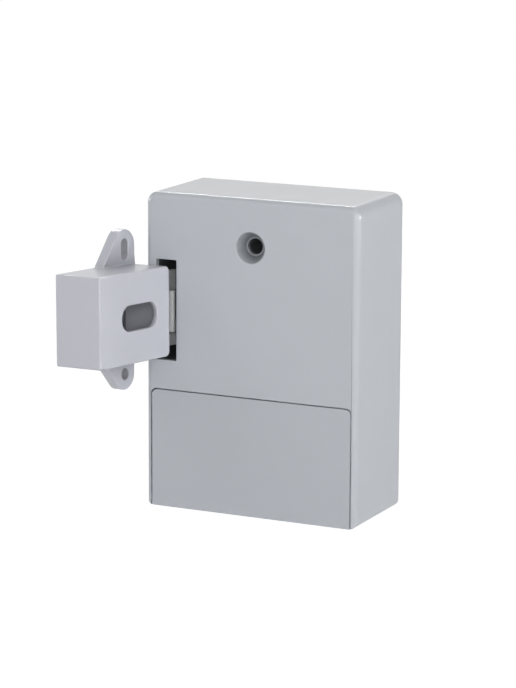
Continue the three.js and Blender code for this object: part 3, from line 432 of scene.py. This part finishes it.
def makeBatteryDoor():
    size = caseSizes
    inner = caseLow.y + size["wall"]
    side = caseHigh.x - size["wall"] - size["gap"]
    door = caseForm("battery_door")
    combine(door, doorPrism("edge", doorSizes["seam"], inner), "INTERSECT")
    easeEdges(door, doorSizes["ease"])
    top = doorSizes["top"] - doorSizes["seam"]
    tongueX, tongueFront = doorSizes["tongueWidth"] / 2, inner + size["gap"]
    tongueLow = top - 2 * doorSizes["tongueRise"]
    joinOn(
        door,
        block("flange", (-side, inner - weld, caseLow.z),
              (side, caseLow.y + size["bottomSetback"] - size["gap"], caseLow.z + doorSizes["flange"])),
        block("tongueRoot", (-tongueX, inner - weld, tongueLow),
              (tongueX, tongueFront + weld, top - doorSizes["tongueRise"])),
        block("tongue", (-tongueX, tongueFront, tongueLow),
              (tongueX, tongueFront + doorSizes["tongueThickness"], top + doorSizes["tongueRise"])))
    webOuter = side + size["gap"] - size["railWidth"] - size["gap"]
    lipFront = inner + 2 * size["gap"] + size["railThickness"]
    low, high = caseLow.z + doorSizes["flange"] - weld, top - doorSizes["hookDrop"]
    for way in (-1, 1):
        web = sorted((way * (webOuter - doorSizes["hook"]), way * webOuter))
        lip = sorted((way * (webOuter - doorSizes["hook"]), way * side))
        joinOn(
            door,
            block("web", (web[0], inner - weld, low), (web[1], lipFront + doorSizes["hook"], high)),
            block("lip", (lip[0], lipFront, low), (lip[1], lipFront + doorSizes["hook"], high)))
    smooth(door)
    return settle(door, "cover", "grey_abs", "battery_cover", finish="door_abs")


def makeBackPlate():
    size = backSizes
    low, high = (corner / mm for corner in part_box("back_plate"))
    through, past = low.y - caseSizes["past"], high.y + caseSizes["past"]
    plate = roundedBlock("back_plate_moulded", low, high, "y", size["corner"], size["corner"],
                         size["cornerSteps"])
    easeEdges(plate, size["ease"])
    for i in (1, 2, 3, 4):
        screwLow, screwHigh = (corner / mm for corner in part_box(f"case_screw_{i}"))
        middle = (screwLow + screwHigh) / 2
        at = (middle.x, middle.z)
        cutAway(plate, rod("hole", "y", (through, past), at, size["hole"], sides=holeSides),
                rod("sink", "y", (high.y - size["sink"], past), at, size["head"], sides=bossSides))
    cutAway(plate, rod("bore", "y", (through, past), (0, caseSizes["funnelZ"]), caseSizes["bore"]))
    smooth(plate)
    return settle(plate, "case", "black_abs", "back_plate")


makeCaseShell()
makeBatteryDoor()
makeBackPlate()


# Strike, in its own frame: from the keeper's middle, the front of the case and its own middle height

strikeSizes = {
    "low": (-13.1, -41.37, -15.55), "high": (5.3, -1.77, 15.55), "corner": 1.9, "nearCorner": 0.7,
    "faceEdge": 0.6, "cornerSteps": 8, "faceSteps": 6, "wall": 2.2, "faceWall": 1.8, "skirt": 3.0,
    "past": 1.0, "trim": 9.0, "earThickness": 3.9, "earFoot": 0.5, "earInset": 0.5, "earEase": 0.35,
    "earSides": 72, "easeAngle": 45,
    "upperEar": {"base": 19.8, "setback": 5.9, "reach": 6.4, "radius": 5.8},
    "lowerEar": {"base": 21.5, "setback": 6.3, "reach": 6.6, "radius": 5.5},
    "slotWidth": 3.7, "slotLength": 7.3, "slotReach": 5.3, "slotSteps": 10, "hole": 2.0, "holeSides": 40,
    "windowLength": 19.9, "windowHeight": 8.7, "windowSetback": 17.1, "windowRim": 0.5,
    "windowSteps": 16, "rimSteps": 4, "rimMargin": 0.1,
    "keeperThickness": 1.8, "gap": 0.3, "arms": ((6.05, 13.05), (-13.05, -8.85)),
    "rib": ((-32.92, -4.0), (-29.42, 4.0)),
    "bossRadius": 3.0, "bossStart": -11.5, "bossAt": (-36.27, 10.45), "bossHole": 1.2,
    "bossDepth": 6.0, "place": (-34.2, -37.0, 14.45), "pitch": -2.4, "roll": -2.2, "yaw": -8.2,
}
rollerSizes = {"y": 6.95, "low": -8.55, "high": 5.75, "radius": 1.2, "bore": 0.65, "past": 1.0,
               "ease": 0.2, "easeAngle": 45}


def leanStrike(piece):  # the strike stands loose in the slot and leans a little each way
    turns = [Matrix.Rotation(math.radians(strikeSizes[name]), 4, axis)
             for name, axis in (("yaw", "Z"), ("pitch", "X"), ("roll", "Y"))]
    place = Matrix.Translation(Vector(strikeSizes["place"]) * mm)
    piece.matrix_world = place @ turns[0] @ turns[1] @ turns[2]
    takeUp(piece)
    bpy.ops.object.transform_apply(location=True, rotation=True, scale=True)


def makeEar(name, ear, above):  # a round end and a straight base, drawn together by their hull
    size = strikeSizes
    low, high = Vector(size["low"]), Vector(size["high"])
    side = 1 if above else -1
    level = high.z if above else low.z
    span = (low.x, low.x + size["earThickness"])
    base = sorted((level - side * size["corner"], level - side * (size["corner"] + size["earFoot"])))
    end = rod(name, "x", span, (high.y - ear["setback"], level + side * ear["reach"]), ear["radius"],
              sides=size["earSides"])
    foot = block("foot", (span[0], high.y - ear["base"], base[0]),
                 (span[1], high.y - size["earInset"], base[1]))
    takeUp(end)
    foot.select_set(True)
    bpy.ops.object.join()
    bpy.ops.object.mode_set(mode="EDIT")
    bpy.ops.mesh.select_all(action="SELECT")
    bpy.ops.mesh.convex_hull()
    bpy.ops.mesh.dissolve_limited(angle_limit=math.radians(1))
    bpy.ops.object.mode_set(mode="OBJECT")
    return end


def makeStrikeBlock():
    size = strikeSizes
    low, high = Vector(size["low"]), Vector(size["high"])
    face, past = high.x, size["past"]
    strike = block("strike_block", low - Vector((size["skirt"], 0, 0)), high)
    for radius, y in ((size["corner"], high.y), (size["nearCorner"], low.y)):
        pickEdges(strike, lambda at, way: abs(way.x) > aligned and abs(at.y - y) < touch)
        roundPicked(radius, size["cornerSteps"])
    pickEdges(strike, lambda at, way: at.x > face - touch)
    roundPicked(size["faceEdge"], size["faceSteps"])
    trim = size["trim"]
    cutAway(strike, block("trim", low - Vector((trim, trim, trim)), (low.x, high.y + trim, high.z + trim)))
    for ear, above in ((size["upperEar"], True), (size["lowerEar"], False)):
        joinOn(strike, makeEar("ear", ear, above))
    wall, inside = size["wall"], face - size["faceWall"]
    cutAway(strike, block("hollow", (low.x - past, low.y + wall, low.z + wall),
                          (inside, high.y - wall, high.z - wall)))
    windowY = high.y - size["windowSetback"]
    halfLength, halfHeight = size["windowLength"] / 2, size["windowHeight"] / 2
    slotY, slotZ = high.y - size["upperEar"]["setback"], high.z + size["slotReach"]
    holeAt = (high.y - size["lowerEar"]["setback"], low.z - size["lowerEar"]["reach"])
    earSpan = (low.x - past, low.x + size["earThickness"] + past)
    halfSlot, slotRound = size["slotWidth"] / 2, size["slotWidth"] / 2 - hair
    cutAway(
        strike,
        roundedBlock("window", (inside - past, windowY - halfLength, -halfHeight),
                     (face + past, windowY + halfLength, halfHeight), "x",
                     halfHeight - hair, halfHeight - hair, size["windowSteps"]),
        roundedBlock("earSlot", (earSpan[0], slotY - halfSlot, slotZ - size["slotLength"] / 2),
                     (earSpan[1], slotY + halfSlot, slotZ + size["slotLength"] / 2), "x",
                     slotRound, slotRound, size["slotSteps"]),
        rod("earHole", "x", earSpan, holeAt, size["hole"], sides=size["holeSides"]))
    halfKeeper = size["keeperThickness"] / 2 + size["gap"]
    for armLow, armHigh in size["arms"]:
        cutAway(strike, block("armSlot", (-halfKeeper, high.y - wall - past, armLow - size["gap"]),
                              (halfKeeper, high.y + past, armHigh + size["gap"])))
    rimY, rimZ = halfLength + size["rimMargin"], halfHeight + size["rimMargin"]
    pickEdges(strike, lambda at, way: at.x > face - touch and abs(at.y - windowY) < rimY
              and abs(at.z) < rimZ)
    roundPicked(size["windowRim"], size["rimSteps"])
    easeEdges(strike, size["earEase"], size["easeAngle"])
    rib = size["rib"]
    joinOn(strike, block("rib", (halfKeeper, *rib[0]), (inside + weld, *rib[1])))
    start, (bossY, bossZ) = size["bossStart"], size["bossAt"]
    for at in ((bossY, bossZ), (bossY, -bossZ)):
        joinOn(strike, rod("boss", "x", (start, inside + weld), at, size["bossRadius"], sides=bossSides))
        cutAway(strike, rod("bossHole", "x", (start - past, start + size["bossDepth"]), at,
                            size["bossHole"], sides=holeSides))
    smooth(strike)
    leanStrike(strike)
    return settle(strike, "strike", "grey_abs", "strike_housing", finish="strike_abs")


def makeRoller():
    size = rollerSizes
    span, at = (size["low"], size["high"]), (0, size["y"])
    roller = rod("keeper_roller_turned", "z", span, at, size["radius"], sides=bossSides)
    cutAway(roller, rod("bore", "z", (span[0] - size["past"], span[1] + size["past"]), at, size["bore"],
                        sides=holeSides))
    easeEdges(roller, size["ease"], size["easeAngle"])
    smooth(roller)
    leanStrike(roller)
    return settle(roller, "roller", "white_nylon", "keeper_roller")


makeStrikeBlock()
makeRoller()


# Cells: one can and one jacket, copied to the three rows

record = frame["record"]
slotOf = {part["node"]: part["material_slot"] for part in record["subparts"]}
bodyOf = {node: body for body, nodes in record["behaviour"]["bodies"].items() for node in nodes}
cellSizes = {
    "length": 43.7, "radius": 5.25, "film": 0.2, "lip": 0.9, "endGap": 0.25, "nub": 1.9,
    "nubRise": 1.05, "ease": 0.3, "past": 1.0,
}


def pickEnd(piece, x):  # the flat end of a rod along X
    takeUp(piece)
    bpy.ops.object.mode_set(mode="EDIT")
    bpy.ops.mesh.select_mode(type="FACE")
    bpy.ops.mesh.select_all(action="DESELECT")
    bpy.ops.object.mode_set(mode="OBJECT")
    for face in piece.data.polygons:
        face.select = abs(face.center.x / mm - x) < touch and abs(face.normal.x) > aligned
    bpy.ops.object.mode_set(mode="EDIT")


def makeCan():
    size = cellSizes
    radius, end = size["radius"] - size["film"], size["length"] - size["endGap"]
    can = rod("can", "x", (size["endGap"], end), (0, 0), radius)
    pickEnd(can, end)
    bpy.ops.mesh.inset(thickness=(radius - size["nub"]) * mm)
    bpy.ops.mesh.extrude_region_move(TRANSFORM_OT_translate={"value": (size["nubRise"] * mm, 0, 0)})
    bpy.ops.object.mode_set(mode="OBJECT")
    easeEdges(can, size["ease"])
    smooth(can)
    return can


def makeJacket():
    size = cellSizes
    inner, far = size["radius"] - size["film"], size["length"]
    jacket = rod("jacket", "x", (0, far), (0, 0), size["radius"])
    cutAway(
        jacket, rod("inside", "x", (size["film"], far - size["film"]), (0, 0), inner),
        rod("ends", "x", (-size["past"], far + size["past"]), (0, 0), size["radius"] - size["lip"]))
    easeEdges(jacket, size["film"] / 3)
    smooth(jacket)
    return jacket


def makeCells():
    can, jacket = makeCan(), makeJacket()
    for node, turned in (("cell_1", False), ("cell_2", True), ("cell_3", False)):
        low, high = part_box(node)
        start = Vector((high.x if turned else low.x, (low.y + high.y) / 2, (low.z + high.z) / 2))
        turn = Matrix.Rotation(math.pi if turned else 0, 4, "Z")
        for source, name, slotName in ((jacket, "jacket", slotOf[node]), (can, "can", "steel")):
            piece = bpy.data.objects.new(f"{node}_{name}", source.data.copy())
            bpy.context.scene.collection.objects.link(piece)
            piece.matrix_world = Matrix.Translation(start) @ turn
            takeUp(piece)
            bpy.ops.object.transform_apply(location=True, rotation=True, scale=True)
            settle(piece, bodyOf[node], slotName, *([node] if name == "jacket" else []))
    for source in (can, jacket):
        bpy.data.objects.remove(source)


makeCells()


# Pieces that start from their solid: merged, with worked edges

dressSizes = {"steps": 2, "angle": 40, "coilAngle": 60}  # degrees up to which faces shade as one


def dressNode(node, width, finish):  # without a width the edges stay as they are
    piece = bpy.data.objects.new(node + "_eased", frame["nodes"][node].data.copy())
    bpy.context.scene.collection.objects.link(piece)
    takeUp(piece)
    bpy.ops.object.mode_set(mode="EDIT")
    bpy.ops.mesh.select_all(action="SELECT")
    bpy.ops.mesh.remove_doubles(threshold=hair * mm)
    bpy.ops.mesh.normals_make_consistent(inside=False)
    bpy.ops.object.mode_set(mode="OBJECT")
    if width:
        easeEdges(piece, width, segments=dressSizes["steps"])
    smooth(piece, dressSizes["angle" if width else "coilAngle"])
    return settle(piece, bodyOf[node], slotOf[node], node, finish=finish)


easedNodes = [  # node, width of its edges in millimetres, finish other than its slot's
    # the strike base plate gets a darker grey as painted shade inside the strike
    ("keeper_fork", 0.25, "keeper_zinc"), ("strike_base_plate", 0.2, "shaded_base_abs"),
    # the inner chassis gets a lighter black as painted light in the slot
    ("inner_chassis", 0.2, "lit_chassis_abs"), ("battery_tray", 0.25, None), ("set_button", 0.3, None),
    ("locking_bolt", 0.15, None), ("bolt_carriage", 0.12, None), ("keeper_pin", 0.1, None),
    *((f"case_screw_{i}", 0.12, None) for i in (1, 2, 3, 4)),
    *((f"strike_screw_{i}", 0.08, None) for i in (1, 2)),
    *((f"tray_screw_{i}", 0.1, None) for i in (1, 2)),
    *((f"cell_spring_{i}", 0, None) for i in (1, 2, 3)),
    *((f"contact_{kind}_{side}", 0.08, None)
      for kind in ("terminal", "link") for side in ("left", "right")),
]
for row in easedNodes:
    dressNode(*row)


# Finish of the CAD pieces that stay

for node, piece in frame["nodes"].items():
    piece.data.materials.clear()
    piece.data.materials.append(finishes[slotOf[node]])
print("finish on", len(frame["nodes"]), "CAD pieces")


# Camera, light and floor

cameraSizes = {  # degrees, picture points, millimetres; the far limit in metres
    "azimuth": 25.713, "elevation": 11.648, "roll": 0.259, "focal": 2998.05, "longSide": 688,
    "sensor": 36.0, "aside": 13.298, "above": 1.273, "away": 1048.457, "far": 50,
}
floorSizes = {"side": 12, "drop": 0.2 * mm, "matte": 0.86, "dim": 0.2, "glow": 0.93}  # metres, then levels
ambient = 0.42  # the world's light on the object; the world itself shows white
lamps = [  # name, place, width, height in metres, power in watts, whether it fills or only glints
    ("key", (0.46, -0.96, 0.27), 0.1, 0.4, 3.1, True),
    ("right", (0.98, -0.4, 0.0), 0.4, 0.8, 4.8, True),
    ("upperLeft", (-0.7, -0.7, 0.7), 0.4, 0.4, 0.9, True),
    ("left", (-1.0, -0.1, -0.15), 0.3, 0.9, 0.5, True),
    ("rightGlint", (0.9, 0.42, -0.2), 0.3, 1.0, 110, False),
    ("frontGlint", (0.76, -0.68, -0.2), 0.16, 0.7, 40, False),
    ("leftGlint", (-0.95, -0.2, -0.2), 0.3, 1.0, 25, False),
    ("backGlint", (-0.47, 0.78, 0.62), 0.8, 0.12, 6.5, False),
]


def placeCamera():
    size = cameraSizes
    turn, rise, roll = (math.radians(size[k]) for k in ("azimuth", "elevation", "roll"))
    ahead = Vector((-math.sin(turn) * math.cos(rise), math.cos(turn) * math.cos(rise), -math.sin(rise)))
    right = Vector((math.cos(turn), math.sin(turn), 0))
    up = right.cross(ahead)
    across = right * math.cos(roll) + up * math.sin(roll)
    upright = up * math.cos(roll) - right * math.sin(roll)
    place = -(across * size["aside"] + upright * size["above"] + ahead * size["away"]) * mm
    camera = bpy.data.objects.new("camera", bpy.data.cameras.new("camera"))
    bpy.context.scene.collection.objects.link(camera)
    camera.data.sensor_width = size["sensor"]
    camera.data.lens = size["focal"] / size["longSide"] * size["sensor"]
    camera.data.clip_end = size["far"]
    axes = Matrix((across, upright, -ahead)).transposed()
    camera.matrix_world = Matrix.Translation(place) @ axes.to_4x4()
    bpy.context.scene.camera = camera


def softBox(name, place, width, height, power, fill):  # turned to the middle of the frame
    lamp = bpy.data.lights.new(name, "AREA")
    lamp.shape = "RECTANGLE"
    lamp.size, lamp.size_y = width, height
    lamp.energy = power
    box = bpy.data.objects.new(name, lamp)
    bpy.context.scene.collection.objects.link(box)
    box.visible_diffuse = fill
    box.location = place
    box.rotation_euler = (Vector((0, 0, 0)) - Vector(place)).to_track_quat("-Z", "Y").to_euler()


def seenRays(tree):  # one for camera and mirror rays, nothing for rays that light the object
    path = addNode(tree, "ShaderNodeLightPath")
    seen = addNode(tree, "ShaderNodeMath", {"operation": "MAXIMUM"})
    tree.links.new(path.outputs["Is Camera Ray"], seen.inputs[0])
    tree.links.new(path.outputs["Is Glossy Ray"], seen.inputs[1])
    return seen.outputs[0]


def paleWorld():
    world = bpy.data.worlds.new("studio")
    bpy.context.scene.world = world
    world.use_nodes = True
    tree = world.node_tree
    back = tree.nodes["Background"]
    level = addNode(
        tree, "ShaderNodeMapRange", {"To Min": ambient, "To Max": 1.0}, {"Value": seenRays(tree)})
    tree.links.new(level.outputs["Result"], back.inputs["Strength"])
    back.inputs["Color"].default_value = (1, 1, 1, 1)


def paleFloor():
    size = floorSizes
    clearPick()
    bpy.ops.mesh.primitive_plane_add(size=size["side"], location=(0, 0, cadLow.z - size["drop"]))
    floor = setDown("floor")
    material = bpy.data.materials.new("white sweep")
    material.use_nodes = True
    tree = material.node_tree
    tree.nodes.remove(tree.nodes["Principled BSDF"])
    matte = addNode(tree, "ShaderNodeBsdfDiffuse", {"Color": (*[size["matte"]] * 3, 1)})
    dim = addNode(tree, "ShaderNodeBsdfDiffuse", {"Color": (*[size["dim"]] * 3, 1)})
    glow = addNode(tree, "ShaderNodeEmission", {"Strength": size["glow"]})
    lit = addNode(tree, "ShaderNodeAddShader")
    tree.links.new(dim.outputs[0], lit.inputs[0])
    tree.links.new(glow.outputs[0], lit.inputs[1])
    mix = addNode(tree, "ShaderNodeMixShader", links={"Fac": seenRays(tree)})
    tree.links.new(matte.outputs[0], mix.inputs[1])
    tree.links.new(lit.outputs[0], mix.inputs[2])
    tree.links.new(mix.outputs[0], tree.nodes["Material Output"].inputs["Surface"])
    floor.data.materials.append(material)


placeCamera()
paleWorld()
paleFloor()
for lamp in lamps:
    softBox(*lamp)
bpy.context.scene.view_settings.view_transform = "Standard"
print("camera, world, floor and", len(lamps), "lamps")
